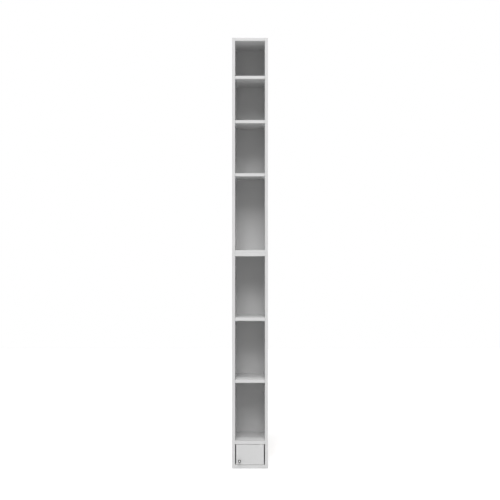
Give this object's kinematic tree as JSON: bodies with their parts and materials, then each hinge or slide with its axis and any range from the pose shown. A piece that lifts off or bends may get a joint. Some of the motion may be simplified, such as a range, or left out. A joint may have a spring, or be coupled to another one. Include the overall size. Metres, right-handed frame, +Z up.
{
  "type": "narrow bookcase",
  "caption": "Very slim, tall white bookcase of stacked carcasses with loose shelves on pins, and a small cupboard at the foot with an inset pivot-hung door and a round knob.",
  "frame": {"origin": "middle of the base, on the floor", "axes": "+X to the right of someone who faces the bookcase, +Y from its front to its back, +Z up"},
  "size_m": [0.15, 0.252, 1.8],
  "materials": {
    "white_board": "satin white melamine on chipboard",
    "white_back": "satin white lacquer on thin hardboard",
    "white_band": "satin white edge band",
    "zinc_steel": "bright zinc plate",
    "knob_metal": "polished nickel",
    "white_nylon": "moulded nylon",
    "ferrite": "sintered ferrite"
  },
  "bodies": {
    "case": {"upper_left_side": "white_board", "upper_right_side": "white_board", "lower_left_side": "white_board", "lower_right_side": "white_board", "top_board": "white_board", "upper_bottom_board": "white_board", "lower_top_board": "white_board", "cupboard_roof_board": "white_board", "bottom_board": "white_board", "upper_shelf_1": "white_board", "upper_shelf_2": "white_board", "upper_shelf_3": "white_board", "lower_shelf_1": "white_board", "lower_shelf_2": "white_board", "upper_back_panel": "white_back", "lower_back_panel": "white_back", "side_edge_bands": "white_band", "board_edge_bands": "white_band", "shelf_edge_bands": "white_band", "shelf_pins": "zinc_steel", "joining_screws": "zinc_steel", "pivot_pins": "zinc_steel", "catch_pole_plates": "zinc_steel", "catch_housing": "white_nylon", "catch_magnet": "ferrite"},
    "door": {"door_panel": "white_board", "door_edge_bands": "white_band", "door_knob": "knob_metal", "knob_screw": "zinc_steel", "pivot_bushes": "white_nylon", "strike_plate": "zinc_steel"}
  },
  "joints": [
    {"name": "door_hinge", "type": "hinge", "parent": "case", "child": "door", "pos_m": [0.0458, -0.11365, 0.0585], "axis": [0, 0, 1], "range_deg": [0, 130]}
  ]
}
